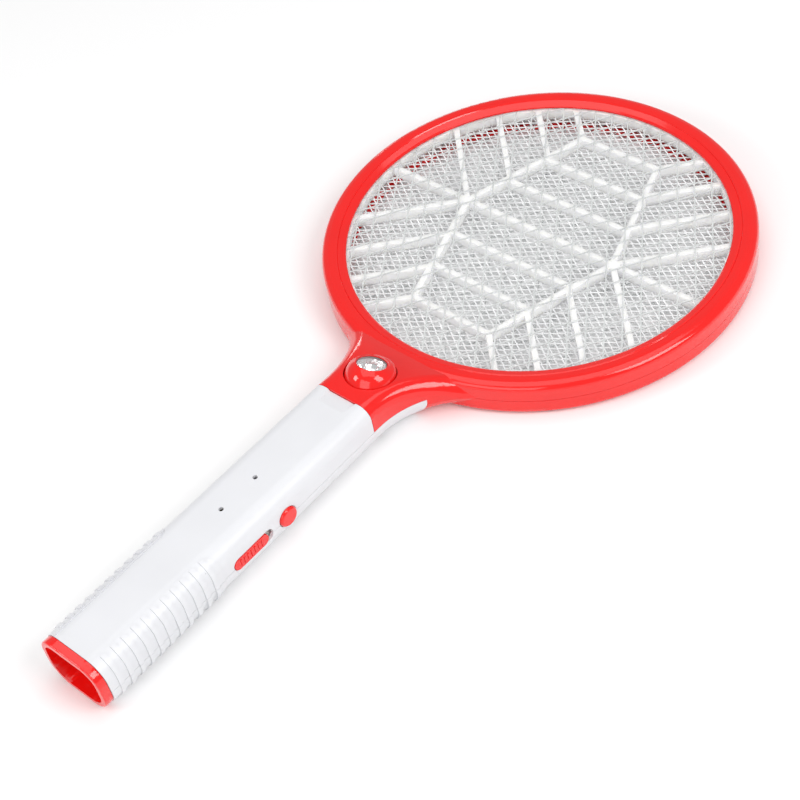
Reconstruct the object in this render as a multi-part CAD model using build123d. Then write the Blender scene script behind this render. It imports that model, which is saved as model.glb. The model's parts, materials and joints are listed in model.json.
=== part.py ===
from build123d import *
from math import atan2, cos, degrees, hypot, pi, radians, sin
import os

# Electric mosquito swatter, built face up on the table, in millimetres.
# X runs across the head, Y from the handle to the head and Z up through the
# front face.  The origin is under the middle of the whole length, on the table.

# ---------------------------------------------------------------- overall
LENGTH = 430.0
HEAD_R = 109.5              # outer radius of both rims
OPENING_R = 97.0            # radius of the opening in both rims
HEAD_Y = LENGTH / 2 - HEAD_R
MID_Z = 9.4                 # plane of the centre grid, and of the rim joint
RIM_HEIGHT = 9.4            # each rim, from its crest to the rim joint
WALL = 1.6                  # moulded wall of handle and neck
SEAM = 0.2                  # gap along a visible joint line
RIM_CAVITY_R = HEAD_R - 1.8 # inside of the rims' outer wall
RIM_CAVITY_Z = 15.9         # inside of the front rim's face

# ---------------------------------------------------------------- handle
END_Y = -LENGTH / 2
CAP_Y = END_Y + 4.4         # joint between handle and end cap
NECK_Y = HEAD_Y - 146.0     # joint between white handle and red neck
FLARE_Y = HEAD_Y - 143.0    # where the sides start to flare to the head
WIDTH_CAP = 37.0
WIDTH_NECK = 34.4
TOP_CAP = 28.9              # height of the top face at the cap
TOP_NECK = 27.8             # height of the top face at the neck
SPLIT_Z = 13.0              # joint between top shell and bottom shell
WING_R = 119.6              # the white wings end on this radius about the head
SHOULDER_NECK = 6.5         # rounding of the top edges at the neck
SHOULDER_CAP = 10.0         # rounding of the top edges at the cap
KEEL_R = 12.0               # rounding of the bottom edges
NECK_REACH = 5.0            # how far the neck's end runs on inside the rim

# ---------------------------------------------------------------- grids
GRID_R = 101.5
GRID_T = 0.5
OUTER_CELL = (10.4, 15.2)   # full width and height of one diamond
OUTER_CELL_SHIFT = -5.6     # the outer grids' cells are not centred in the ring
GRID_LIFT = 5.9             # centre plane to the near face of an outer grid
CENTRE_CELL = (12.0, 8.2)
WIRE_W = 0.7
FRONT_TAB_X = -4.5
CENTRE_TAB_X = 7.0
REAR_TAB_X = -8.5
SPACER_IN = 96.0
SPACER_OUT = 102.0
REAR_SPACER_IN = 100.6      # the rear ring is set back under the rim
SPACER_H = 5.5
RIB_W = 3.0
RIB_SHIFT = 1.0             # the rib frame sits this far towards the tip
SLANT_LEAD = 2.0            # slanted ribs start this far outside the cross ribs
RIB_PITCH = 23.3            # distance between two cross ribs
RIB_LONG = 45.7             # half-width of the rib frame at the middle
RIB_SHORT = 23.7            # half-width of the rib frame at its ends

# ---------------------------------------------------------------- controls
SWITCH_Z = 13.9             # height of slider and button on the right side
BUTTON_Y = HEAD_Y - 205.6
BUTTON_R = 5.1
SLOT_END_Y = HEAD_Y - 240.5
SLOT_LENGTH = 25.0
SLIDER_LENGTH = 21.4
SLIDER_W = 6.2
SLIDER_Y = SLOT_END_Y + 0.3 + SLIDER_LENGTH / 2
SLIDER_TRAVEL = 3.0
SLIDER_BACK_X = 15.35        # back of the red cap, against its white carrier
LED_YS = (HEAD_Y - 204.4, HEAD_Y - 226.3)
LED_R = 1.2

# ---------------------------------------------------------------- grip
GRIP_FRONT_Y = HEAD_Y - 247.0
GRIP_X = 11.5
PAD_H = 0.4
RIDGE_H = 1.0
RIDGE_W = 2.4
RIDGE_COUNT = 11
RIDGE_FIRST_Y = HEAD_Y - 252.0
RIDGE_PITCH = 5.83

# ---------------------------------------------------------------- lamp
LAMP_Y = HEAD_Y - 124.2
LAMP_Z = 30.1               # centre of the lamp's opening
LAMP_R = 7.3
LAMP_TILT = 23.5            # the lamp looks up and towards the head
DOME_R = 12.3

# ---------------------------------------------------------------- screws
RIM_SCREWS = 8
RIM_SCREW_R = 105.0
SCREW_R = 1.1
HEAD_SCREW_R = 2.5          # heads of the rim and handle screws
NECK_HEAD_R = 1.7           # heads of the neck screws
HANDLE_SCREW_YS = (-52.0, -143.5)
NECK_SCREW = (13.0, -33.0)
NECK_SEAT_Z = 6.2           # their heads sit this high, above the rounded keel

# ---------------------------------------------------------------- end cap and insides
CAP_RIM = 2.8               # width of the raised rim around the cap's recess
CAP_RECESS = 8.0
CAP_SPIGOT = 8.0
CAP_CLEARANCE = 0.25
CAP_FLOOR = 1.5
INLET_Y = CAP_Y + 9.5
PIN_R = 1.2
PIN_X = 4.3                 # half the distance between the pins
PIN_Z = 14.5
BATTERY = (26.0, 31.0, 18.5)
BATTERY_Y = -164.5
BATTERY_Z = 5.6
BOARD_Z = 8.0
BOARD_T = 1.6
BOARD_YS = (-138.0, -62.0)
BOARD_XS = (-13.0, 8.0)
TRANSFORMER = (-5.0, -77.0)
STORAGE_CAPACITOR = (-7.0, -122.0, 9.0, 18.0, 13.0)  # place, width, length, height
DOUBLER_CAPACITOR = (-5.5, -105.5, 8.0, 7.0, 8.0)
WIRE_R = 0.6


def cylinder(x, y, z0, z1, radius):
    """Upright cylinder between two heights."""
    return Pos(x, y, z0) * extrude(Circle(radius), z1 - z0)


def block(x0, x1, y0, y1, z0, z1):
    """Box between two corners."""
    size = (x1 - x0, y1 - y0, z1 - z0)
    return Pos((x0 + x1) / 2, (y0 + y1) / 2, (z0 + z1) / 2) * Box(*size)


def head_disc(radius, z0, z1):
    """Disc about the centre of the head."""
    return cylinder(0, HEAD_Y, z0, z1, radius)


# ================================================================ handle body
def side_flare():
    """Radius and start point of the flare, tangent to handle side and rim."""
    lean = atan2((WIDTH_CAP - WIDTH_NECK) / 2, NECK_Y - CAP_Y)
    side_x = WIDTH_NECK / 2 - (FLARE_Y - NECK_Y) * sin(lean)
    start = Vector(side_x, FLARE_Y - HEAD_Y)
    normal = Vector(cos(lean), sin(lean))
    radius = (start.dot(start) - HEAD_R ** 2) / (2 * (HEAD_R - start.dot(normal)))
    return lean, start, normal, radius


def plan_outline(inset, reach):
    """Plan of handle and neck, from the cap joint into the rim."""
    lean, start, normal, radius = side_flare()
    centre = start + normal * radius
    touch = centre * (HEAD_R / centre.length)
    begin = start - normal * inset
    end = touch * ((HEAD_R - inset) / HEAD_R)
    both = (start - centre).normalized() + (touch - centre).normalized()
    middle_dir = both.normalized()
    middle = centre + middle_dir * (radius + inset)
    cap_x = WIDTH_CAP / 2 - inset
    shift = Vector(0, HEAD_Y)
    begin, middle, end = begin + shift, middle + shift, end + shift
    tail = Vector(cap_x, CAP_Y)
    tip = Vector(end.X - reach, end.Y + reach)
    right = Curve() + [Line(tail, begin), ThreePointArc(begin, middle, end)]
    if reach:
        right += Line(end, tip)
    across = [Line(tip, (-tip.X, tip.Y)), Line((-cap_x, CAP_Y), tail)]
    return make_face(right + mirror(right, about=Plane.YZ) + across)


def roof_cutter(inset):
    """Everything above the top face, which falls in an arc to the rim."""
    slope = (TOP_NECK - TOP_CAP) / (NECK_Y - CAP_Y)
    rim_y = HEAD_Y - 104.0
    rear = Vector(0, CAP_Y - 10, TOP_CAP - 10 * slope - inset)
    knee = Vector(0, NECK_Y, TOP_NECK - inset)
    front = Vector(0, rim_y, 2 * RIM_HEIGHT - 0.1 - inset)
    arc = TangentArc(knee, front, tangent=Vector(0, 1, slope))
    last = Vector(0, rim_y + 15, front.Z + 15 * (arc % 1).Z / (arc % 1).Y)
    lid = [Line(rear, knee), arc, Line(front, last)]
    lid.append(Polyline(last, (0, last.Y, 60), (0, rear.Y, 60), rear))
    profile = make_face(Curve() + lid)
    return extrude(profile, 80, both=True)


def long_edges(solid, low, high):
    """Edges that run along the handle between two heights."""
    edges = solid.edges().filter_by(lambda e: e.bounding_box().size.Y > 2)
    return edges.filter_by(lambda e: low < e.center().Z < high and abs(e.center().X) > 5)


def section(inset, y, width, top, shoulder):
    """Outline across the handle, facing the cap."""
    area = Rectangle(width - 2 * inset, top - 2 * inset)
    area = fillet(area.vertices().sort_by(Axis.Y)[-2:], shoulder - inset)
    area = fillet(area.vertices().sort_by(Axis.Y)[:2], KEEL_R - inset)
    return Plane(origin=(0, y, top / 2), x_dir=(1, 0, 0), z_dir=(0, -1, 0)) * area


def cap_section(inset, y):
    """Outline of the handle at the cap joint."""
    return section(inset, y, WIDTH_CAP, TOP_CAP, SHOULDER_CAP)


def handle_block(inset):
    """Straight part of the handle, whose shoulders soften towards the cap."""
    neck = section(inset, NECK_Y, WIDTH_NECK, TOP_NECK, SHOULDER_NECK)
    return loft([neck, cap_section(inset, CAP_Y)], ruled=True)


def upper_block(inset, reach=0.0):
    """Neck with rounded shoulders, inset from the outer surface."""
    raw = extrude(plan_outline(inset, reach), 40) - roof_cutter(inset)
    return fillet(long_edges(raw, 16, 40), SHOULDER_NECK - inset)


def lower_block(inset, reach=0.0):
    """Handle and neck with rounded bottom edges, inset from the outer surface."""
    raw = Pos(0, 0, inset) * extrude(plan_outline(inset, reach), 20 - inset)
    return fillet(long_edges(raw, -2, 5), KEEL_R - inset)


# ================================================================ rims
def rim_half():
    """Front rim from the joint plane to its crest, about the head's axis."""
    side = Line((HEAD_R, MID_Z + SEAM / 2), (HEAD_R, 14.8))
    roll = ThreePointArc((HEAD_R, 14.8), (HEAD_R - 0.7, 17.2), (HEAD_R - 2.8, 18.5))
    crest = [(106.7, 18.5), (105.8, 18.8), (104.2, 18.8), (101.8, 18.5)]
    groove = [(101.3, 18.0), (100.8, 18.3)]
    lip = [(97.8, 17.4), (OPENING_R, 16.8), (OPENING_R, RIM_CAVITY_Z)]
    foot_z = MID_Z + SEAM / 2
    cavity = [(RIM_CAVITY_R, RIM_CAVITY_Z), (RIM_CAVITY_R, foot_z), (HEAD_R, foot_z)]
    profile = make_face(Curve() + [side, roll, Polyline(crest + groove + lip + cavity)])
    upright = Plane.XZ * profile
    return Pos(0, HEAD_Y, 0) * revolve(upright, Axis.Z)


def rim_screw_places():
    """Places around the rim, clear of the neck."""
    step = 2 * pi / (RIM_SCREWS + 1)
    angles = [-pi / 2 + step * (k + 1) for k in range(RIM_SCREWS)]
    return [(RIM_SCREW_R * cos(a), HEAD_Y + RIM_SCREW_R * sin(a)) for a in angles]


def front_frame():
    """Red front rim with the upper half of the neck and the lamp seat."""
    neck = upper_block(0.0, NECK_REACH) - head_disc(RIM_CAVITY_R, -1, RIM_CAVITY_Z)
    skin = rim_half() + neck
    skin -= upper_block(WALL, NECK_REACH)
    skin -= block(-60, 60, -300, NECK_Y + SEAM / 2, -1, 60)
    skin -= head_disc(400, -1, MID_Z + SEAM / 2)
    skin -= head_disc(400, -1, SPLIT_Z + SEAM / 2) - head_disc(WING_R, -1, 60)
    for x, y in rim_screw_places():
        skin += cylinder(x, y, MID_Z + SEAM / 2, 16.0, 2.3)
        skin -= cylinder(x, y, MID_Z, 15.0, SCREW_R + 0.05)
    for x in (-NECK_SCREW[0], NECK_SCREW[0]):
        skin += cylinder(x, NECK_SCREW[1], SPLIT_Z + SEAM / 2, 25.0, 2.6)
        skin -= cylinder(x, NECK_SCREW[1], SPLIT_Z, 21.0, SCREW_R + 0.05)
    return skin - dome_seat() - grid_space()


def grid_space():
    """Room for the grids and spacer frames inside both rims."""
    return head_disc(SPACER_OUT + 0.2, 2 * MID_Z - RIM_CAVITY_Z, RIM_CAVITY_Z)


def rear_rim():
    """Red rear rim with the short stub that meets the white wings."""
    ring = mirror(rim_half(), about=Plane.XY.offset(MID_Z))
    skin = ring + lower_block(0.0)
    skin -= lower_block(WALL, NECK_REACH)
    skin -= head_disc(400, MID_Z - SEAM / 2, 60)
    skin -= head_disc(400, -1, 60) - head_disc(WING_R - SEAM / 2, -1, 60)
    for x, y in rim_screw_places():
        skin += cylinder(x, y, 2.8, MID_Z - SEAM / 2, 2.3)
        skin -= cylinder(x, y, -1, 60, SCREW_R + 0.2)
        skin -= cylinder(x, y, -1, 1.9, HEAD_SCREW_R + 0.3)
    return skin - grid_space()


# ================================================================ grids and spacers
def diamond(cell, x, y, scale):
    """Closed diamond outline about a point."""
    half_w = cell[0] / 2 * scale
    half_h = cell[1] / 2 * scale
    corners = [(x + half_w, y), (x, y + half_h), (x - half_w, y), (x, y - half_h)]
    return Wire.make_polygon([Vector(*c) for c in corners], close=True)


def grid(cell, z, shift=0.0):
    """Round grid of diamond openings."""
    side_distance = cell[0] * cell[1] / 2 / hypot(*cell)
    scale = 1 - WIRE_W / 2 / side_distance
    columns = int(2 * GRID_R / cell[0]) + 1
    rows = int(2 * GRID_R / cell[1]) + 1
    holes = []
    for i in range(-columns, columns + 1):
        for j in range(-rows, rows + 1):
            x = i * cell[0] / 2
            y = j * cell[1] / 2 + shift
            corner = hypot(abs(x) + cell[0] / 3, abs(y) + cell[1] / 3)
            if (i + j) % 2 == 0 and corner < GRID_R - 1:
                holes.append(diamond(cell, x, y, scale))
    rim = Wire.make_circle(GRID_R)
    return Pos(0, HEAD_Y, z) * extrude(Face(rim, holes), GRID_T)


def rib(x0, y0, x1, y1):
    """Straight rib between two points of the spacer frame."""
    length = hypot(x1 - x0, y1 - y0)
    turn = degrees(atan2(y1 - y0, x1 - x0))
    middle = Pos((x0 + x1) / 2, (y0 + y1) / 2)
    return middle * Rot(0, 0, turn) * Rectangle(length + RIB_W / 2, RIB_W)


def frame_half_width(row):
    """Half-width of the rib frame at one cross rib."""
    return RIB_LONG - (RIB_LONG - RIB_SHORT) * abs(row) / 3


def slanted_rib(side, row, lean):
    """Rib from the long frame out to the ring, beside one cross rib."""
    lead = SLANT_LEAD * lean if 0 < abs(row) < 3 else 0.0
    x = frame_half_width(row + lead / RIB_PITCH)
    y = row * RIB_PITCH + lead
    return rib(side * x, y, side * (x + 70), y + lean * 70)


def spacer_frame(z):
    """White ring with a long frame of cross ribs and slanted outer ribs."""
    ribs = []
    for row in range(-3, 4):
        half = frame_half_width(row)
        y = row * RIB_PITCH
        reach = SPACER_IN if row == 0 else half
        ribs.append(rib(-reach, y, reach, y))
        for side in (-1, 1):
            for lean in {1 if row >= 0 else -1, 1 if row > 0 else -1}:
                ribs.append(slanted_rib(side, row, lean))
            if row < 3:
                ribs.append(rib(side * half, y, side * frame_half_width(row + 1), y + RIB_PITCH))
    web = Pos(0, RIB_SHIFT) * (Sketch() + ribs)
    web &= Circle(SPACER_IN + 1)
    return spacer_ring(z, SPACER_IN) + Pos(0, HEAD_Y, z) * extrude(web, SPACER_H)


def spacer_ring(z, inner):
    """White ring that keeps two grids apart at their edge."""
    return Pos(0, HEAD_Y, z) * extrude(Circle(SPACER_OUT) - Circle(inner), SPACER_H)


def grid_tab(x, z):
    """Contact strip from a grid's edge into the neck."""
    return block(x - 2, x + 2, -12.0, HEAD_Y - GRID_R - 0.1, z, z + GRID_T)


# ================================================================ handle shells
def grip_mask(side):
    """Area of one raised grip pad, in plan."""
    corner = 7.0
    x0, x1 = GRIP_X, WIDTH_CAP / 2
    rear = [(x0, GRIP_FRONT_Y - corner), (x0, CAP_Y), (x1 + 4, CAP_Y)]
    low = Polyline(rear + [(x1 + 4, GRIP_FRONT_Y), (x1, GRIP_FRONT_Y)])
    bow = ThreePointArc((x1, GRIP_FRONT_Y), (x0 + 2, GRIP_FRONT_Y - 2.2), (x0, GRIP_FRONT_Y - corner))
    area = extrude(make_face(Curve() + [low, bow]), 60)
    return area if side > 0 else mirror(area, about=Plane.YZ)


def grip_layer(shell_block):
    """Raised pads and ridges on both sides, for one shell."""
    body = shell_block(0.5)
    pad = shell_block(-PAD_H) - body
    high = shell_block(-RIDGE_H) - body
    layer = []
    for side in (-1, 1):
        layer.append(pad & grip_mask(side))
        for k in range(RIDGE_COUNT):
            y = RIDGE_FIRST_Y - k * RIDGE_PITCH
            x0, x1 = sorted((side * (GRIP_X + 1.2), side * 30))
            layer.append(high & block(x0, x1, y - RIDGE_W / 2, y + RIDGE_W / 2, 2.2, 60))
    return layer


def side_openings():
    """Slider slot and button hole in the right side."""
    wall = Plane(origin=(12, 0, SWITCH_Z), x_dir=(0, 1, 0), z_dir=(1, 0, 0))
    slot = Pos(SLOT_END_Y + SLOT_LENGTH / 2, 0) * SlotOverall(SLOT_LENGTH, SLIDER_W + 0.6)
    hole = Pos(BUTTON_Y, 0) * Circle(BUTTON_R + 0.3)
    return extrude(wall * (slot + hole), 12)


def thumb_facet():
    """Shallow wedge in the top face, deepest at the neck joint."""
    rear_y = NECK_Y - 8.0
    rear = Plane(origin=(0, rear_y, TOP_NECK + 0.3), x_dir=(1, 0, 0), z_dir=(0, 1, 0))
    front = Plane(origin=(0, NECK_Y + 1, TOP_NECK), x_dir=(1, 0, 0), z_dir=(0, 1, 0))
    shallow = rear * facet_section(7.6, -0.5, 0.25)
    deep = front * facet_section(10.4, -0.8, 1.3)
    return loft([shallow, deep], ruled=True)


def facet_section(half_w, low, depth):
    """Wedge outline across the handle; its y axis points down."""
    right = [(half_w, low), (7.3, depth)]
    left = [(-7.3, depth), (-half_w, low)]
    return make_face(Polyline(left[1:] + right + left))


def handle_top_shell():
    """White upper half of the handle, with lamps' holes and switch cut-outs."""
    shell = handle_block(0.0) - handle_block(WALL)
    shell += grip_layer(handle_block)
    for y in HANDLE_SCREW_YS:
        shell += cylinder(0, y, SPLIT_Z, 27.2, 3.0)
        shell -= cylinder(0, y, SPLIT_Z - 1, 23.0, SCREW_R + 0.05)
    shell -= block(-60, 60, NECK_Y - SEAM / 2, 60, -1, 60)
    shell -= block(-60, 60, -300, 60, -5, SPLIT_Z + SEAM / 2)
    for y in LED_YS:
        shell -= cylinder(0, y, 20, 40, LED_R)
    return shell - side_openings() - thumb_facet()


def handle_bottom_shell():
    """White lower half of handle and neck, with the wings under the neck."""
    shell = lower_block(0.0) - lower_block(WALL, NECK_REACH)
    shell += grip_layer(lower_block)
    shell -= head_disc(400, SPLIT_Z - SEAM / 2, 60)
    shell -= head_disc(WING_R + SEAM / 2, -1, 60)
    for y in HANDLE_SCREW_YS:
        shell += cylinder(0, y, 1.0, SPLIT_Z - SEAM / 2, 3.2)
        shell -= cylinder(0, y, -1, 60, SCREW_R + 0.2)
        shell -= cylinder(0, y, -1, 3.0, HEAD_SCREW_R + 0.3)
    for x in (-NECK_SCREW[0], NECK_SCREW[0]):
        boss = cylinder(x, NECK_SCREW[1], 1.0, SPLIT_Z - SEAM / 2, 2.6)
        shell += boss & lower_block(0.5, NECK_REACH)
        shell -= cylinder(x, NECK_SCREW[1], -1, 60, SCREW_R + 0.2)
        shell -= cylinder(x, NECK_SCREW[1], -1, NECK_SEAT_Z, NECK_HEAD_R + 0.3)
    for x in (BOARD_XS[0] + 3, BOARD_XS[1] - 3):
        for y in (BOARD_YS[0] + 6, BOARD_YS[1] - 6):
            shell += cylinder(x, y, 1.0, BOARD_Z - 0.05, 1.6)
    for y in (BATTERY_Y - 8, BATTERY_Y + 8):
        shell += block(-7, 7, y - 0.6, y + 0.6, 1.0, BATTERY_Z - 0.05)
    return shell - side_openings()


# ================================================================ end cap and inlet
def slice_of_handle(inset, y, depth):
    """Slab with the handle's outline at the cap joint, from y towards the cap."""
    return extrude(cap_section(inset, y), depth)


def end_cap():
    """Red pull-off cap with a deep recess and a spigot inside the handle."""
    joint = CAP_Y - SEAM
    spigot_y = CAP_Y + CAP_SPIGOT
    floor_y = END_Y + CAP_RECESS + CAP_FLOOR
    cap = slice_of_handle(0.0, joint, joint - END_Y)
    mouth = cap.edges().filter_by(lambda e: e.bounding_box().max.Y < END_Y + 0.1)
    cap = fillet(mouth, 0.8)
    cap += slice_of_handle(WALL + CAP_CLEARANCE, spigot_y, CAP_SPIGOT + 1)
    cap -= slice_of_handle(CAP_RIM, END_Y + CAP_RECESS, CAP_RECESS + 1)
    return cap - slice_of_handle(CAP_RIM, spigot_y + 1, spigot_y + 1 - floor_y)


def charging_inlet():
    """Moulded plate with a well for the charging lead's plug."""
    plate = slice_of_handle(WALL + 0.3, INLET_Y + 2, 2.0)
    well = block(-10, 10, INLET_Y + 1, INLET_Y + 14, 9, 20)
    inlet = plate + well - block(-8.4, 8.4, INLET_Y - 1, INLET_Y + 12, 10.6, 18.4)
    return inlet - inlet_pins(PIN_R + 0.05)


def inlet_pins(radius):
    """Two round pins through the back of the inlet's well."""
    pins = []
    for x in (-PIN_X, PIN_X):
        base = Plane(origin=(x, INLET_Y + 17, PIN_Z), z_dir=(0, -1, 0))
        pins.append(extrude(base * Circle(radius), 15.0))
    return Part() + pins


def charging_pins():
    """Contact pins of the inlet."""
    return inlet_pins(PIN_R)


# ================================================================ lamp
def lamp_plane(depth, tilt=LAMP_TILT):
    """Plane across the lamp, a given depth below its opening."""
    lean = radians(LAMP_TILT)
    origin = (0, LAMP_Y - depth * sin(lean), LAMP_Z - depth * cos(lean))
    return Plane(origin=origin, x_dir=(1, 0, 0), z_dir=(0, sin(radians(tilt)), cos(radians(tilt))))


def dome_base():
    """Plane of the dome's widest circle, nearly level with the neck."""
    return lamp_plane(5.5, 9.0)


def dome_sections(inset):
    """Circles that the lamp's dome passes through, from foot to rim."""
    base = dome_base()
    planes = [base.offset(-5.0), base, lamp_plane(2.6, 14.0), lamp_plane(0.9, 20.0), lamp_plane(0.0)]
    radii = [DOME_R, DOME_R, 11.1, 9.2, LAMP_R + 0.5]
    return [plane * Circle(radius - inset) for plane, radius in zip(planes, radii)]


def dome_seat():
    """Round seat in the neck that the dome stands in."""
    return extrude(dome_base().offset(-9.0) * Circle(DOME_R + 0.4), 30)


def lamp_dome():
    """Red dome that leans towards the head."""
    shell = loft(dome_sections(0.0)) - loft(dome_sections(1.3))
    return shell - extrude(lamp_plane(3.0) * Circle(LAMP_R), 4.0)


def lamp_turned(points):
    """Solid turned about the lamp's axis from radius and height pairs."""
    profile = Plane.XZ * make_face(Polyline(points + points[:1]))
    return lamp_plane(0.0).location * revolve(profile, Axis.Z)


def lamp_lens():
    """Clear round cover."""
    return lamp_turned([(0, -0.4), (LAMP_R - 0.2, -0.4), (LAMP_R - 0.2, -1.2), (0, -1.2)])


def lamp_reflector():
    """Silvered cup behind the lens."""
    cup = [(LAMP_R - 0.3, -1.3), (6.6, -3.0), (5.0, -5.6), (2.8, -7.4), (2.8, -8.0)]
    back = [(3.4, -8.0), (5.5, -5.9), (LAMP_R, -3.1), (LAMP_R, -1.3)]
    return lamp_turned(cup + back)


def lamp_led():
    """White light-emitting diode at the bottom of the cup."""
    bulb = [(0, -4.6), (1.6, -5.0), (2.4, -6.4), (2.4, -9.2)]
    return lamp_turned(bulb + [(2.7, -9.2), (2.7, -10.0), (0, -10.0)])


def lamp_board():
    """Small round board that carries the lamp's diode."""
    return lamp_turned([(0, -10.05), (8.0, -10.05), (8.0, -11.2), (0, -11.2)])


# ================================================================ controls
def across(x, y, z, radius, length):
    """Cylinder along X from a starting point."""
    return extrude(Plane(origin=(x, y, z), z_dir=(1, 0, 0)) * Circle(radius), length)


def zap_button():
    """Round red button with a crowned face and a retaining flange."""
    face = across(13.8, BUTTON_Y, SWITCH_Z, BUTTON_R, 5.2)
    face = fillet(face.edges().sort_by(Axis.X)[-1], 1.3)
    return face + across(13.6, BUTTON_Y, SWITCH_Z, 5.9, 1.1) + across(12.6, BUTTON_Y, SWITCH_Z, 1.6, 1.5)


def button_plunger():
    """Plunger of the push switch, which the button presses."""
    return across(9.8, BUTTON_Y, SWITCH_Z, 1.2, 2.7)


def push_switch():
    """Push switch on the edge of the board."""
    body = block(4.6, 11.0, BUTTON_Y - 3.1, BUTTON_Y + 3.1, BOARD_Z + BOARD_T, 17.4)
    return body - across(8.0, BUTTON_Y, SWITCH_Z, 1.3, 4.0)


def slider_plan(length, width):
    """Rounded slider outline on the right side of the handle."""
    wall = Plane(origin=(0, 0, SWITCH_Z), x_dir=(0, 1, 0), z_dir=(1, 0, 0))
    return wall * Pos(SLIDER_Y, 0) * SlotOverall(length, width)


def slider_knob():
    """Red slider cap with cross ribs on its face."""
    knob = Pos(SLIDER_BACK_X, 0, 0) * extrude(slider_plan(SLIDER_LENGTH, SLIDER_W), 18.2 - SLIDER_BACK_X)
    for k in range(-3, 4):
        y = SLIDER_Y + 2.2 * k
        knob += block(18.0, 18.6, y - 0.4, y + 0.4, SWITCH_Z - 2, SWITCH_Z + 2)
    return knob - block(13, 16.9, SLIDER_Y - 1.1, SLIDER_Y + 1.1, SWITCH_Z - 1.1, SWITCH_Z + 1.1)


def slider_carrier():
    """White plate that closes the slot from inside, with the lever for the slide switch."""
    reach = SLIDER_LENGTH / 2 + SLIDER_TRAVEL + 0.5
    plate = block(14.3, SLIDER_BACK_X - 0.05, SLIDER_Y - reach, SLIDER_Y + reach, SWITCH_Z - 4.4, SWITCH_Z + 4.4)
    return plate + block(9.4, 16.7, SLIDER_Y - 1, SLIDER_Y + 1, SWITCH_Z - 1, SWITCH_Z + 1)


def slide_switch():
    """Slide switch on the edge of the board."""
    body = block(4.0, 11.0, SLIDER_Y - 8, SLIDER_Y + 9, BOARD_Z + BOARD_T, 17.4)
    y0, y1 = SLIDER_Y - 1.4, SLIDER_Y + 1.4 + SLIDER_TRAVEL
    gap = block(9.0, 12.0, y0, y1, SWITCH_Z - 1.3, SWITCH_Z + 1.3)
    return body - gap


# ================================================================ electrics
def circuit_board():
    """Main board on the handle's bottom shell."""
    return block(*BOARD_XS, *BOARD_YS, BOARD_Z, BOARD_Z + BOARD_T)


def transformer_core():
    """Ferrite core of the step-up transformer."""
    x, y = TRANSFORMER
    low = BOARD_Z + BOARD_T + 1
    core = block(x - 6, x + 6, y - 7, y + 7, low, low + 11)
    window = block(x - 3.6, x + 3.6, y - 7.5, y + 7.5, low + 2, low + 9)
    return core - window + block(x - 1.6, x + 1.6, y - 7, y + 7, low, low + 11)


def transformer_winding():
    """Wound bobbin around the core's middle leg."""
    x, y = TRANSFORMER
    low = BOARD_Z + BOARD_T + 1
    coil = block(x - 3.5, x + 3.5, y - 9, y + 9, low + 2.1, low + 8.9)
    return coil - block(x - 1.7, x + 1.7, y - 7.1, y + 7.1, low - 1, low + 13)


def film_capacitor(x, y, width, length, height):
    """Boxed film capacitor standing on the board."""
    low = BOARD_Z + BOARD_T
    body = block(x - width / 2, x + width / 2, y - length / 2, y + length / 2, low, low + height)
    return fillet(body.edges().filter_by(Axis.Z), 0.8)


def small_parts():
    """Diodes and resistors lying on the board."""
    parts = []
    for k in range(4):
        axis = Plane(origin=(-10.5, -88 - 3.2 * k, BOARD_Z + BOARD_T + 1.2), z_dir=(1, 0, 0))
        parts.append(extrude(axis * Circle(1.1), 6.0))
    return Part() + parts


def indicator_led(y):
    """Small lamp on two legs below its hole in the top face."""
    bulb = cylinder(0, y, 19.5, 24.5, 1.5)
    bulb = fillet(bulb.edges().sort_by(Axis.Z)[-1], 1.0)
    legs = [cylinder(0, y + side * 0.8, BOARD_Z + BOARD_T, 20.0, 0.25) for side in (-1, 1)]
    return bulb + legs


def battery():
    """Rechargeable battery block in the rear of the handle."""
    half_w, half_l = BATTERY[0] / 2, BATTERY[1] / 2
    y0, y1 = BATTERY_Y - half_l, BATTERY_Y + half_l
    case = block(-half_w, half_w, y0, y1, BATTERY_Z, BATTERY_Z + BATTERY[2])
    return fillet(case.edges(), 1.0)


def battery_contacts():
    """Two solder tabs on the front of the battery."""
    front = BATTERY_Y + BATTERY[1] / 2
    return Part() + [block(x - 2, x + 2, front + 0.05, front + 0.6, 14, 19) for x in (-9, 9)]


def lead(points, bend=3.0):
    """Round insulated wire along straight runs joined by arcs."""
    path = FilletPolyline(*points, radius=bend)
    return sweep(Plane(origin=path @ 0, z_dir=path % 0) * Circle(WIRE_R), path)


def battery_leads():
    """Pair of wires from battery to board."""
    top = BOARD_Z + BOARD_T + 1.2
    front = BATTERY_Y + BATTERY[1] / 2 + 0.65
    wires = []
    for x in (-8, 6.5):
        route = [(x, front, 16), (x, front + 5, 16), (x, front + 10, top), (x, BOARD_YS[0] + 4, top)]
        wires.append(lead(route, 2.0))
    return Part() + wires


def charging_leads():
    """Pair of wires from the inlet over the battery to the board."""
    rear = INLET_Y + 17.1
    top = BOARD_Z + BOARD_T + 0.8
    over = 25.4
    wires = []
    for x in (-PIN_X, PIN_X):
        route = [(x, rear, PIN_Z), (x, rear + 2.5, PIN_Z), (x, rear + 2.5, over)]
        route += [(x, BOARD_YS[0] - 5, over), (x, BOARD_YS[0] + 3, top)]
        wires.append(lead(route, 1.2))
    return Part() + wires


def lamp_leads():
    """Pair of wires from the lamp's board to the main board."""
    top = BOARD_Z + BOARD_T + 0.8
    wires = []
    for x in (-6.3, 5.2):
        wires.append(lead([(x, -26.0, 17.6), (x, -34, 16.5), (x, -54, 16.5), (x, BOARD_YS[1] - 4, top)]))
    return Part() + wires


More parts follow.
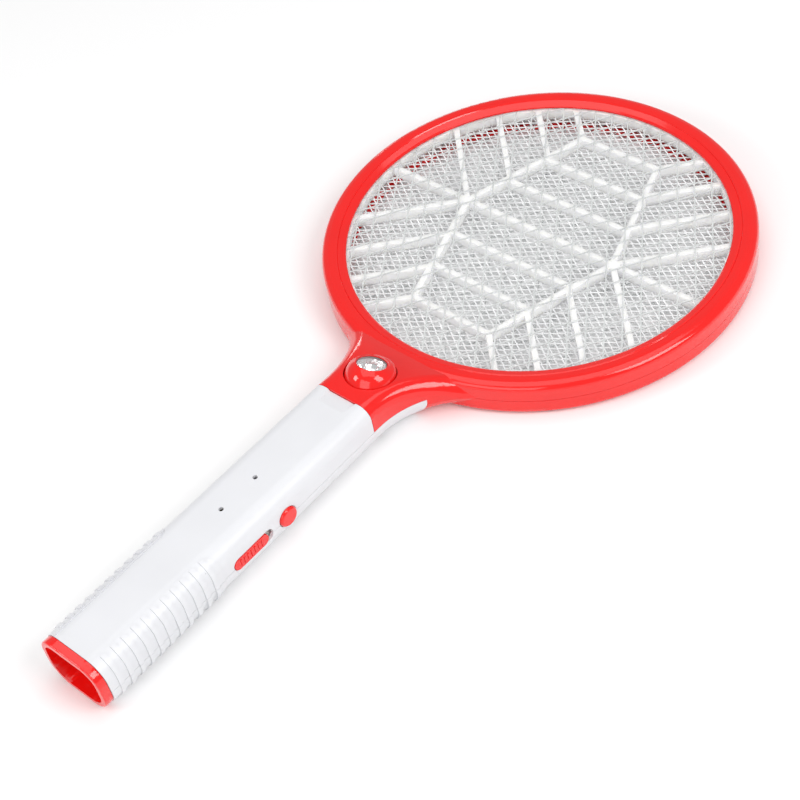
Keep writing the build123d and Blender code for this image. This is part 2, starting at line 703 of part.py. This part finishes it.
def grid_leads():
    """Three insulated wires from the board to the grids' contact strips."""
    top = BOARD_Z + BOARD_T + 0.8
    wires = []
    for x, z in [(FRONT_TAB_X, 14.2), (CENTRE_TAB_X, 10.4), (REAR_TAB_X, 4.4)]:
        wires.append(lead([(x, -10.5, z), (x, -20, z), (x, -54, 12.0), (x, BOARD_YS[1] - 3, top)]))
    return Part() + wires


def screw(x, y, seat, tip, head_r):
    """Pan-head screw with a cross recess, driven upwards from the rear."""
    body = cylinder(x, y, seat, tip, SCREW_R) + cylinder(x, y, seat - 1.4, seat, head_r)
    cross = block(x - 1.2, x + 1.2, y - 0.25, y + 0.25, seat - 2, seat - 0.8)
    cross += block(x - 0.25, x + 0.25, y - 1.2, y + 1.2, seat - 2, seat - 0.8)
    return body - cross


def rim_screws():
    """Screws that join the two rims."""
    return Part() + [screw(x, y, 1.9, 14.2, HEAD_SCREW_R) for x, y in rim_screw_places()]


def handle_screws():
    """Screws that join the two handle shells."""
    return Part() + [screw(0, y, 3.0, 21.0, HEAD_SCREW_R) for y in HANDLE_SCREW_YS]


def neck_screws():
    """Screws that join the bottom shell to the red neck."""
    xs = (-NECK_SCREW[0], NECK_SCREW[0])
    return Part() + [screw(x, NECK_SCREW[1], NECK_SEAT_Z, 20.0, NECK_HEAD_R) for x in xs]


def nodes():
    """Every piece of the swatter, by name."""
    return {
        "front_frame": front_frame,
        "rear_rim": rear_rim,
        "front_grid": lambda: grid(OUTER_CELL, MID_Z + GRID_LIFT, OUTER_CELL_SHIFT),
        "centre_grid": lambda: grid(CENTRE_CELL, MID_Z - GRID_T / 2),
        "rear_grid": lambda: grid(OUTER_CELL, MID_Z - GRID_LIFT - GRID_T, OUTER_CELL_SHIFT),
        "front_spacer": lambda: spacer_frame(MID_Z + 0.35),
        "rear_spacer": lambda: spacer_ring(MID_Z - 0.35 - SPACER_H, REAR_SPACER_IN),
        "front_grid_tab": lambda: grid_tab(FRONT_TAB_X, MID_Z + GRID_LIFT),
        "centre_grid_tab": lambda: grid_tab(CENTRE_TAB_X, MID_Z - GRID_T / 2),
        "rear_grid_tab": lambda: grid_tab(REAR_TAB_X, MID_Z - GRID_LIFT - GRID_T),
        "handle_top_shell": handle_top_shell,
        "handle_bottom_shell": handle_bottom_shell,
        "end_cap": end_cap,
        "charging_inlet": charging_inlet,
        "charging_pins": charging_pins,
        "lamp_dome": lamp_dome,
        "lamp_lens": lamp_lens,
        "lamp_reflector": lamp_reflector,
        "lamp_led": lamp_led,
        "lamp_board": lamp_board,
        "zap_button": zap_button,
        "button_plunger": button_plunger,
        "push_switch": push_switch,
        "slider_knob": slider_knob,
        "slider_carrier": slider_carrier,
        "slide_switch": slide_switch,
        "circuit_board": circuit_board,
        "transformer_core": transformer_core,
        "transformer_winding": transformer_winding,
        "storage_capacitor": lambda: film_capacitor(*STORAGE_CAPACITOR),
        "doubler_capacitor": lambda: film_capacitor(*DOUBLER_CAPACITOR),
        "small_parts": small_parts,
        "charge_led": lambda: indicator_led(LED_YS[1]),
        "power_led": lambda: indicator_led(LED_YS[0]),
        "battery": battery,
        "battery_contacts": battery_contacts,
        "battery_leads": battery_leads,
        "charging_leads": charging_leads,
        "lamp_leads": lamp_leads,
        "grid_leads": grid_leads,
        "rim_screws": rim_screws,
        "handle_screws": handle_screws,
        "neck_screws": neck_screws,
    }


def main():
    """Write one file for each piece."""
    os.makedirs("parts", exist_ok=True)
    for name, make in nodes().items():
        export_step(make(), f"parts/{name}.step")


if __name__ == "__main__":
    main()
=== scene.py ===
import bpy
import json
from math import cos, hypot, pi, radians, sin
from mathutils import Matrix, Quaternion, Vector


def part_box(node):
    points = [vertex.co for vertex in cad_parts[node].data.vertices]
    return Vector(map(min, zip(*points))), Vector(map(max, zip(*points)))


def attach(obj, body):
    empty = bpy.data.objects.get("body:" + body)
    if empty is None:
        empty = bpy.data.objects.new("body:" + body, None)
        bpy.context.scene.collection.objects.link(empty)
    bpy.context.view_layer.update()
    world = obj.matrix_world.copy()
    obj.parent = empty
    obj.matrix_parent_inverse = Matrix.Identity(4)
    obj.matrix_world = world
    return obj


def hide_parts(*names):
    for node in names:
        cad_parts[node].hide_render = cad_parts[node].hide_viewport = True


# Looks of the electric mosquito swatter.  All lengths are in metres.
MM = 0.001

# ---------------------------------------------------------------- camera
VIEW_AZIMUTH = 49.3          # degrees round the object from the handle's end
VIEW_ELEVATION = 47.0
VIEW_ROLL = -12.0
VIEW_DISTANCE = 0.795
VIEW_AIM = Vector((0.0175, -0.0215, 0.0178))
LENS = 77.2                  # for the 36 mm sensor width

# ---------------------------------------------------------------- grids
OUTER_HALF_CELL = (5.2 * MM, 7.6 * MM)     # half-width and half-height of a diamond
CENTRE_HALF_CELL = (3.0 * MM, 2.05 * MM)
OUTER_SHIFT = -5.6 * MM      # the outer grids' cells are not centred in the ring
OUTER_WIRE = 0.64 * MM
CENTRE_WIRE = 0.58 * MM
OUTER_LIFT = 0.1 * MM        # rise of a strand from one side of its swing to the other
CENTRE_LIFT = 0.2 * MM
EDGE_GAP = 0.2 * MM          # strands end this far inside the CAD grid's edge

# ---------------------------------------------------------------- lamp
LAMP_TILT = 23.5             # degrees from upright, towards the head
FLUTES = 14                  # facets round the lamp's reflector
FLUTE_STEPS = 4              # mesh points across one flute
FLUTE_DENT = 0.035           # depth of a flute, as a share of the radius

# ---------------------------------------------------------------- finish
CREASE_ANGLE = 38.0          # degrees; edges sharper than this are rounded
WELD_REACH = 0.002           # mm, joins the split corners of a CAD mesh first
FLOOR_SIZE = 6.0
SURROUND_LIGHT = 0.41

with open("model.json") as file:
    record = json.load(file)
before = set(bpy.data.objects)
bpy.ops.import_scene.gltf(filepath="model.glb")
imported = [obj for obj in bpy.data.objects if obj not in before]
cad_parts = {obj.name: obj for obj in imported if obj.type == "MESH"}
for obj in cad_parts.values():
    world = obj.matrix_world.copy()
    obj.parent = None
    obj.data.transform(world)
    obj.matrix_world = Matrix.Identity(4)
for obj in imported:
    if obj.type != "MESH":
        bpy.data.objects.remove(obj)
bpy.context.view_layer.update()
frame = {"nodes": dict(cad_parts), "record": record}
node = frame["nodes"]


# ================================================================ node helpers
def new_material(name):
    """Empty material with its node tree and shader."""
    mat = bpy.data.materials.new(name)
    mat.use_nodes = True
    return mat, mat.node_tree, mat.node_tree.nodes["Principled BSDF"]


def noise(tree, size, detail=3.0, stretch=(1.0, 1.0, 1.0)):
    """Noise whose features are about this size, in metres, fixed to the piece."""
    coords = tree.nodes.new("ShaderNodeTexCoord")
    mapping = tree.nodes.new("ShaderNodeMapping")
    mapping.inputs["Scale"].default_value = stretch
    texture = tree.nodes.new("ShaderNodeTexNoise")
    texture.inputs["Scale"].default_value = 1.0 / size
    texture.inputs["Detail"].default_value = detail
    tree.links.new(coords.outputs["Object"], mapping.inputs["Vector"])
    tree.links.new(mapping.outputs["Vector"], texture.inputs["Vector"])
    return texture.outputs["Fac"]


def specks(tree, size, share):
    """Sparse round dots: one in each cell of this size, whose radius is a share of it."""
    coords = tree.nodes.new("ShaderNodeTexCoord")
    texture = tree.nodes.new("ShaderNodeTexVoronoi")
    texture.inputs["Scale"].default_value = 1.0 / size
    tree.links.new(coords.outputs["Object"], texture.inputs["Vector"])
    return between(tree, texture.outputs["Distance"], 1.0, 0.0, share * 0.6, share)


def windings(tree, pitch, axis):
    """Fine even ridges across one axis, as wound wire has."""
    coords = tree.nodes.new("ShaderNodeTexCoord")
    texture = tree.nodes.new("ShaderNodeTexWave")
    texture.bands_direction = axis
    texture.inputs["Scale"].default_value = 0.314 / pitch
    texture.inputs["Distortion"].default_value = 0.4
    tree.links.new(coords.outputs["Object"], texture.inputs["Vector"])
    return texture.outputs["Fac"]


def between(tree, factor, low, high, start=0.25, end=0.75):
    """A number that runs from low to high as the factor goes from start to end."""
    node_range = tree.nodes.new("ShaderNodeMapRange")
    node_range.inputs["From Min"].default_value = start
    node_range.inputs["From Max"].default_value = end
    node_range.inputs["To Min"].default_value = low
    node_range.inputs["To Max"].default_value = high
    tree.links.new(factor, node_range.inputs["Value"])
    return node_range.outputs["Result"]


def shade(tree, factor, first, second):
    """Colour that runs from the first to the second with the factor."""
    mix = tree.nodes.new("ShaderNodeMix")
    mix.data_type = "RGBA"
    mix.inputs[6].default_value = (*first, 1.0)
    mix.inputs[7].default_value = (*second, 1.0)
    tree.links.new(factor, mix.inputs[0])
    return mix.outputs[2]


def bump(tree, shader, height, distance, strength=1.0):
    """Relief on the shader, as deep as the distance."""
    relief = tree.nodes.new("ShaderNodeBump")
    relief.inputs["Distance"].default_value = distance
    relief.inputs["Strength"].default_value = strength
    tree.links.new(height, relief.inputs["Height"])
    tree.links.new(relief.outputs["Normal"], shader.inputs["Normal"])


def scaled(colour, factor):
    """The colour, lighter or darker."""
    return tuple(min(1.0, c * factor) for c in colour)


# ================================================================ materials
def moulded(name, colour, roughness, grain=0.35, depth=0.006, coat=0.0, mottle=0.04):
    """Moulded plastic: cloudy tone, uneven gloss and a fine skin; grain and depth in mm."""
    mat, tree, shader = new_material(name)
    cloud = noise(tree, 18 * MM, 4.0)
    tone = shade(tree, between(tree, cloud, 0.0, 1.0), scaled(colour, 1 - mottle), scaled(colour, 1 + mottle))
    tree.links.new(tone, shader.inputs["Base Color"])
    gloss = noise(tree, 6 * MM, 5.0)
    tree.links.new(between(tree, gloss, roughness * 0.85, roughness * 1.2), shader.inputs["Roughness"])
    shader.inputs["IOR"].default_value = 1.49
    shader.inputs["Coat Weight"].default_value = coat
    shader.inputs["Coat Roughness"].default_value = 0.03
    bump(tree, shader, noise(tree, grain * MM, 2.0), depth * MM, 0.5)
    return mat


def white_shell(name, colour):
    """Satin white plastic with a fine spark texture and a few tiny specks."""
    mat, tree, shader = new_material(name)
    cloud = between(tree, noise(tree, 30 * MM, 3.0), 0.0, 1.0)
    tone = shade(tree, cloud, scaled(colour, 0.975), scaled(colour, 1.02))
    dust = tree.nodes.new("ShaderNodeMix")
    dust.data_type = "RGBA"
    dust.inputs[7].default_value = (*scaled(colour, 0.62), 1.0)
    tree.links.new(specks(tree, 11 * MM, 0.022), dust.inputs[0])
    tree.links.new(tone, dust.inputs[6])
    tree.links.new(dust.outputs[2], shader.inputs["Base Color"])
    gloss = noise(tree, 4 * MM, 4.0)
    tree.links.new(between(tree, gloss, 0.30, 0.40), shader.inputs["Roughness"])
    shader.inputs["IOR"].default_value = 1.5
    shader.inputs["Subsurface Weight"].default_value = 0.1
    shader.inputs["Subsurface Scale"].default_value = 1.0 * MM
    shader.inputs["Subsurface Radius"].default_value = (1.0, 1.0, 1.1)
    bump(tree, shader, noise(tree, 0.5 * MM, 3.0), 0.012 * MM, 0.6)
    return mat


def white_frame(name, colour):
    """White spacer plastic with faint drawn lines from the mould."""
    mat, tree, shader = new_material(name)
    lines = noise(tree, 3.0 * MM, 3.0, (1.0, 1.0, 5.0))
    tone = shade(tree, between(tree, lines, 0.0, 1.0), scaled(colour, 0.97), scaled(colour, 1.02))
    tree.links.new(tone, shader.inputs["Base Color"])
    tree.links.new(between(tree, lines, 0.34, 0.5), shader.inputs["Roughness"])
    shader.inputs["Subsurface Weight"].default_value = 1.0
    shader.inputs["Subsurface Scale"].default_value = 6.0 * MM
    shader.inputs["Subsurface Radius"].default_value = (1.0, 1.0, 1.1)
    bump(tree, shader, lines, 0.02 * MM, 0.5)
    return mat


def metal(name, colour, roughness, grain=0.8, depth=0.01, metallic=1.0):
    """Metal with a drawn, slightly uneven finish; grain and depth in mm."""
    mat, tree, shader = new_material(name)
    stain = noise(tree, 9 * MM, 4.0)
    tone = shade(tree, between(tree, stain, 0.0, 1.0), scaled(colour, 0.9), scaled(colour, 1.05))
    tree.links.new(tone, shader.inputs["Base Color"])
    scratch = noise(tree, grain * MM, 3.0, (1.0, 1.0, 4.0))
    tree.links.new(between(tree, scratch, roughness * 0.75, roughness * 1.3), shader.inputs["Roughness"])
    shader.inputs["Metallic"].default_value = metallic
    bump(tree, shader, scratch, depth * MM, 0.5)
    return mat


def clear_plastic(name, colour, roughness=0.03, opacity=0.14):
    """Clear plastic or epoxy with faint flow marks."""
    mat, tree, shader = new_material(name)
    flow = noise(tree, 5 * MM, 2.0)
    tone = shade(tree, between(tree, flow, 0.0, 1.0), scaled(colour, 0.97), colour)
    tree.links.new(tone, shader.inputs["Base Color"])
    tree.links.new(between(tree, flow, roughness * 0.6, roughness * 1.4), shader.inputs["Roughness"])
    tree.links.new(between(tree, flow, opacity * 0.8, opacity * 1.2), shader.inputs["Alpha"])
    shader.inputs["IOR"].default_value = 1.45
    bump(tree, shader, flow, 0.01 * MM, 0.3)
    return mat


def wound(name, colour, pitch, axis):
    """Wound or wrapped surface with even ridges; pitch in mm. The colour is darker in the troughs between
    turns, as painted shade, and lighter on the crests, as a painted highlight.
    """
    mat, tree, shader = new_material(name)
    ridges = windings(tree, pitch * MM, axis)
    # painted shade and highlight: colour darkens into the troughs between turns and lightens on the crests
    tone = shade(tree, ridges, scaled(colour, 0.45), scaled(colour, 1.1))
    tree.links.new(tone, shader.inputs["Base Color"])
    tree.links.new(between(tree, ridges, 0.55, 0.28, 0.0, 1.0), shader.inputs["Roughness"])
    shader.inputs["Metallic"].default_value = 0.6
    bump(tree, shader, ridges, 0.08 * MM, 0.8)
    return mat


def laminate(name, colour):
    """Lacquered circuit board with a glass weave under the lacquer."""
    mat, tree, shader = new_material(name)
    weave = noise(tree, 0.5 * MM, 1.0, (1.0, 3.0, 1.0))
    tone = shade(tree, between(tree, weave, 0.0, 1.0), scaled(colour, 0.8), scaled(colour, 1.25))
    tree.links.new(tone, shader.inputs["Base Color"])
    tree.links.new(between(tree, weave, 0.25, 0.42), shader.inputs["Roughness"])
    bump(tree, shader, weave, 0.02 * MM, 0.5)
    return mat


RED = (0.82, 0.009, 0.007)
MATERIALS = {
    "red_gloss": moulded("red_gloss", RED, 0.10, grain=0.9, depth=0.002, coat=0.3, mottle=0.03),
    "white_shell": white_shell("white_shell", (0.72, 0.725, 0.75)),
    "white_frame": white_frame("white_frame", (0.97, 0.97, 1.0)),
    "grid_metal": metal("grid_metal", (0.72, 0.74, 0.735), 0.5, metallic=0.3),
    # painted highlight: near-white, non-metallic finish for the centre grid's strands, standing in for light
    # glinting off them
    "fine_metal_painted_glint": metal("fine_metal_painted_glint", (0.99, 0.99, 1.0), 0.32, metallic=0.0),
    "silvered": metal("silvered", (0.96, 0.965, 0.97), 0.14, grain=2.0, depth=0.002),
    "clear_cover": clear_plastic("clear_cover", (0.97, 0.985, 1.0)),
    "led_white": clear_plastic("led_white", (0.98, 0.97, 0.82), 0.08, 0.75),
    "led_red": moulded("led_red", (0.55, 0.012, 0.010), 0.16, coat=0.5),
    "black_plastic": moulded("black_plastic", (0.022, 0.022, 0.025), 0.45, mottle=0.15),
    "board_green": laminate("board_green", (0.03, 0.20, 0.07)),
    "ferrite": moulded("ferrite", (0.055, 0.055, 0.062), 0.62, grain=0.25, depth=0.03, mottle=0.2),
    "copper": wound("copper", (0.72, 0.30, 0.12), 0.35, "Y"),
    "film_yellow": moulded("film_yellow", (0.72, 0.50, 0.06), 0.3, coat=0.3, mottle=0.08),
    "contact_metal": metal("contact_metal", (0.80, 0.68, 0.42), 0.3),
    "battery_case": moulded("battery_case", (0.10, 0.11, 0.14), 0.38, grain=0.4, depth=0.02, mottle=0.12),
    "wire_red": moulded("wire_red", (0.55, 0.03, 0.02), 0.4, mottle=0.08),
    "wire_white": moulded("wire_white", (0.78, 0.78, 0.75), 0.42, mottle=0.06),
    "steel_screw": metal("steel_screw", (0.58, 0.58, 0.60), 0.28, grain=0.3),
}


def paint_cad_nodes():
    """Give each CAD node the material of its slot in the record."""
    for entry in frame["record"]["subparts"]:
        piece = node[entry["node"]]
        piece.data.materials.clear()
        piece.data.materials.append(MATERIALS[entry["material_slot"]])


def soften(name, width, segments=3):
    """Round a CAD node's sharp edges by a width in mm, without touching its mesh."""
    piece = node[name]
    weld = piece.modifiers.new("weld", "WELD")
    weld.merge_threshold = WELD_REACH * MM
    edge = piece.modifiers.new("edge", "BEVEL")
    edge.width = width * MM
    edge.segments = segments
    edge.limit_method = "ANGLE"
    edge.angle_limit = radians(CREASE_ANGLE)
    edge.use_clamp_overlap = True
    edge.harden_normals = True


# ================================================================ mesh helpers
def mesh_piece(name, points, faces, slot, body="swatter", smooth=True):
    """Mesh in the row frame that rides on a body."""
    mesh = bpy.data.meshes.new(name)
    mesh.from_pydata(points, [], faces)
    mesh.update()
    for polygon in mesh.polygons:
        polygon.use_smooth = smooth
    piece = bpy.data.objects.new(name, mesh)
    bpy.context.scene.collection.objects.link(piece)
    mesh.materials.append(MATERIALS[slot])
    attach(piece, body)
    return piece


def sweep(points, faces, path, section):
    """Add a closed tube along a path; section gives (side, up) pairs across it."""
    sides = len(section)
    first = len(points)
    count = len(path)
    for i, here in enumerate(path):
        ahead = path[min(i + 1, count - 1)] - path[max(i - 1, 0)]
        side = Vector((ahead.y, -ahead.x, 0)).normalized()
        points.extend(here + side * s + Vector((0, 0, u)) for s, u in section)
    for i in range(count - 1):
        for k in range(sides):
            a = first + i * sides + k
            b = first + i * sides + (k + 1) % sides
            faces.append((a, b, b + sides, a + sides))
    faces.append(tuple(first + k for k in reversed(range(sides))))
    faces.append(tuple(first + (count - 1) * sides + k for k in range(sides)))


# ================================================================ grids
def zigzag(phase, kink):
    """Wave from 0 to 1 and back with straight flanks and rounded ends."""
    turn = abs((phase % 2.0) - 1.0)
    eased = turn * turn * (3 - 2 * turn)
    return turn * (1 - kink) + eased * kink


def strand_path(centre, radius, place, half, along, wire, kink, steps, lift, shift):
    """Points of one zigzag strand, cut to the round grid."""
    path = []
    count = (int(2 * radius / half[along]) + 2) * steps
    for i in range(-count // 2, count // 2 + 1):
        swing = zigzag(i / steps + place, kink)
        run = i * half[along] / steps + shift
        reach = half[1 - along] - wire
        side = place * half[1 - along] + wire / 2 + swing * reach
        x, y = (run, side) if along == 0 else (side, run)
        if hypot(x, y) < radius:
            path.append(Vector((centre.x + x, centre.y + y, centre.z + lift * (swing - 0.5))))
    return path


def expanded_metal(name, replaced, half, along, wire, kink, steps, lift, shift=0.0):
    """Slit and stretched sheet: zigzag strands that touch at every knuckle."""
    low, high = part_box(replaced)
    centre = (low + high) / 2
    radius = (high.x - low.x) / 2 - EDGE_GAP
    thick = high.z - low.z - abs(lift)
    section = [(-wire / 2, -thick / 2), (wire / 2, -thick / 2), (wire / 2, thick / 2), (-wire / 2, thick / 2)]
    points, faces = [], []
    strands = int(radius / half[1 - along]) + 1
    for place in range(-strands, strands):
        path = strand_path(centre, radius, place, half, along, wire, kink, steps, lift, shift)
        if len(path) > 2:
            sweep(points, faces, path, section)
    piece = mesh_piece(name, points, faces, "grid_metal", smooth=False)
    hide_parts(replaced)
    return piece


def build_grids():
    """The three grids in their real pitch."""
    for side in ("front", "rear"):
        cad = f"{side}_grid"
        expanded_metal(f"{cad}_mesh", cad, OUTER_HALF_CELL, along=1, wire=OUTER_WIRE,
                       kink=0.6, steps=8, lift=OUTER_LIFT, shift=OUTER_SHIFT)
    fine = expanded_metal("centre_grid_mesh", "centre_grid", CENTRE_HALF_CELL, along=0, wire=CENTRE_WIRE,
                          kink=0.3, steps=3, lift=CENTRE_LIFT)
    # painted highlight: the thin strands wear a near-white, non-metallic material, brighter than the outer
    # grids' wire, that stands in for light glinting off them
    fine.data.materials[0] = MATERIALS["fine_metal_painted_glint"]


# ================================================================ lamp
def lamp_axis():
    """Centre of the lens's top face and the lamp's axis."""
    low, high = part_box("lamp_lens")
    tilt = radians(LAMP_TILT)
    axis = Vector((0, sin(tilt), cos(tilt)))
    return (low + high) / 2, axis


def build_reflector():
    """Silvered cup with flat flutes down its wall."""
    centre, axis = lamp_axis()
    turn = Vector((0, 0, 1)).rotation_difference(axis).to_matrix()
    # radius and depth below the lens, in mm
    inside = [(7.0, -0.55), (6.7, -1.5), (6.1, -3.1), (5.1, -4.7), (3.9, -6.1), (2.8, -6.9)]
    outside = [(2.8, -7.2), (3.2, -7.2), (4.3, -6.5), (5.6, -5.0), (6.6, -3.2), (7.2, -1.5), (7.3, -0.55)]
    rings = inside + outside
    around = FLUTES * FLUTE_STEPS
    points, faces = [], []
    for step, (radius, depth) in enumerate(rings):
        fluted = FLUTE_DENT if 0 < step < len(inside) - 1 else 0.0
        for k in range(around):
            angle = 2 * pi * k / around
            dent = 1 + fluted * (abs(2 * (k % FLUTE_STEPS) / FLUTE_STEPS - 1) - 0.5)
            flat = Vector((radius * dent * cos(angle), radius * dent * sin(angle), depth)) * MM
            points.append(centre + turn @ flat)
    count = len(rings)
    for step in range(count):
        after = (step + 1) % count
        for k in range(around):
            k2 = (k + 1) % around
            faces.append((step * around + k, step * around + k2, after * around + k2, after * around + k))
    piece = mesh_piece("reflector_cup", points, faces, "silvered", smooth=False)
    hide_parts("lamp_reflector")


# ================================================================ stage
def build_stage():
    """Pale floor, soft studio light and a bright even surround."""
    bpy.ops.mesh.primitive_plane_add(size=FLOOR_SIZE, location=(0, 0, 0))
    floor = bpy.context.object
    floor.name = "floor"
    mat, tree, shader = new_material("floor_paper")
    shader.inputs["Base Color"].default_value = (0.93, 0.93, 0.93, 1)
    shader.inputs["Roughness"].default_value = 0.8
    floor.data.materials.append(mat)
    world = bpy.data.worlds.new("studio")
    bpy.context.scene.world = world
    world.use_nodes = True
    background = world.node_tree.nodes["Background"]
    background.inputs["Color"].default_value = (1.0, 1.0, 1.0, 1)
    background.inputs["Strength"].default_value = SURROUND_LIGHT
    softbox("top", (-0.10, 0.10, 1.4), (0, 0, 0), 1.5, 1.5, 8.4)
    softbox("key", (1.10, 0.18, 1.0), (0, 0, 0), 0.75, 0.75, 10.5)
    softbox("front_fill", (0.40, -1.35, 0.75), (0, 0, 0), 1.1, 0.9, 5.6)
    softbox("front_left", (-0.75, -1.05, 0.77), (0, 0, 0), 0.42, 0.42, 4.2)
    softbox("edge", (-1.12, 0.95, 0.34), (0, 0.1, 0), 0.35, 0.10, 0.6)


def softbox(name, place, target, width, height, power):
    """Rectangular lamp that faces a point."""
    light = bpy.data.lights.new(name, "AREA")
    light.shape = "RECTANGLE"
    light.size = width
    light.size_y = height
    light.energy = power
    lamp = bpy.data.objects.new(name, light)
    bpy.context.scene.collection.objects.link(lamp)
    lamp.location = place
    lamp.rotation_euler = (Vector(target) - Vector(place)).to_track_quat("-Z", "Y").to_euler()


def build_camera():
    """Camera above and to the right of the handle's end, leaning a little."""
    azimuth, elevation = radians(VIEW_AZIMUTH), radians(VIEW_ELEVATION)
    back = Vector((sin(azimuth) * cos(elevation), -cos(azimuth) * cos(elevation), sin(elevation)))
    data = bpy.data.cameras.new("camera")
    data.lens = LENS
    data.sensor_width = 36.0
    camera = bpy.data.objects.new("camera", data)
    bpy.context.scene.collection.objects.link(camera)
    camera.location = VIEW_AIM + back * VIEW_DISTANCE
    camera.rotation_mode = "QUATERNION"
    level = (-back).to_track_quat("-Z", "Y")
    camera.rotation_quaternion = level @ Quaternion((0, 0, 1), radians(VIEW_ROLL))
    bpy.context.scene.camera = camera


paint_cad_nodes()
soften("front_spacer", 0.25)
soften("slider_knob", 0.2)
soften("end_cap", 0.25)
build_grids()
build_reflector()
build_stage()
build_camera()
bpy.context.scene.view_settings.view_transform = "Standard"
